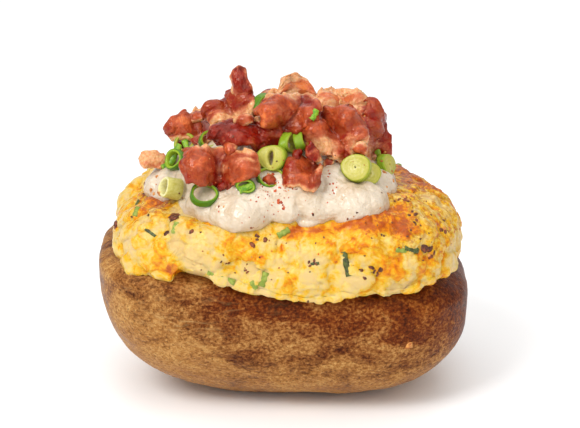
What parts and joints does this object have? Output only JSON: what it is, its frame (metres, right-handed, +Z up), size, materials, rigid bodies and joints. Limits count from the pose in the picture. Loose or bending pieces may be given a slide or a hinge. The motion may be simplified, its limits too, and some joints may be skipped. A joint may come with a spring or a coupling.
{
  "type": "loaded baked potato",
  "caption": "Scooped baked potato skin heaped with cheesy potato filling, topped with sour cream, crisp bacon pieces and sliced spring onion; rests on a small flat spot.",
  "frame": {"origin": "middle of the flat spot under the potato that it rests on", "axes": "+X along the potato, -Y its front, where the filling hangs lowest over the skin, +Z up"},
  "size_m": [0.1189, 0.0796, 0.1053],
  "materials": {
    "potato_skin": "satin",
    "filling": "satin",
    "sour_cream": "satin",
    "bacon": "gloss",
    "spring_onion": "satin"
  },
  "bodies": {
    "root": {"potato_skin": "potato_skin", "filling": "filling", "sour_cream": "sour_cream", "bacon_left_slab": "bacon", "bacon_front_chip": "bacon", "bacon_front_fold": "bacon", "bacon_right_strand": "bacon", "bacon_right_fold": "bacon", "bacon_middle_leaf": "bacon", "bacon_right_end": "bacon", "bacon_left_flake": "bacon", "bacon_behind_left": "bacon", "bacon_behind_right": "bacon", "bacon_behind_end": "bacon", "bacon_back_flap": "bacon", "bacon_back_right": "bacon", "bacon_centre_fold": "bacon", "bacon_left_ridge": "bacon", "bacon_top_right": "bacon", "bacon_top_flap": "bacon", "bacon_upright_curl": "bacon", "onion_left_wide": "spring_onion", "onion_cream_ring": "spring_onion", "onion_cream_bit": "spring_onion", "onion_pale_under": "spring_onion", "onion_pale_disc": "spring_onion", "onion_right_lower": "spring_onion", "onion_front_arc": "spring_onion", "onion_front_slit": "spring_onion", "onion_right_upper": "spring_onion", "onion_left_lower": "spring_onion", "onion_middle_left": "spring_onion", "onion_middle_right": "spring_onion", "onion_left_upper": "spring_onion", "onion_tucked_left": "spring_onion", "onion_behind_low": "spring_onion", "onion_behind_right": "spring_onion", "onion_behind_left": "spring_onion", "onion_behind_middle": "spring_onion", "onion_tucked_right": "spring_onion", "onion_top": "spring_onion"}
  },
  "joints": []
}
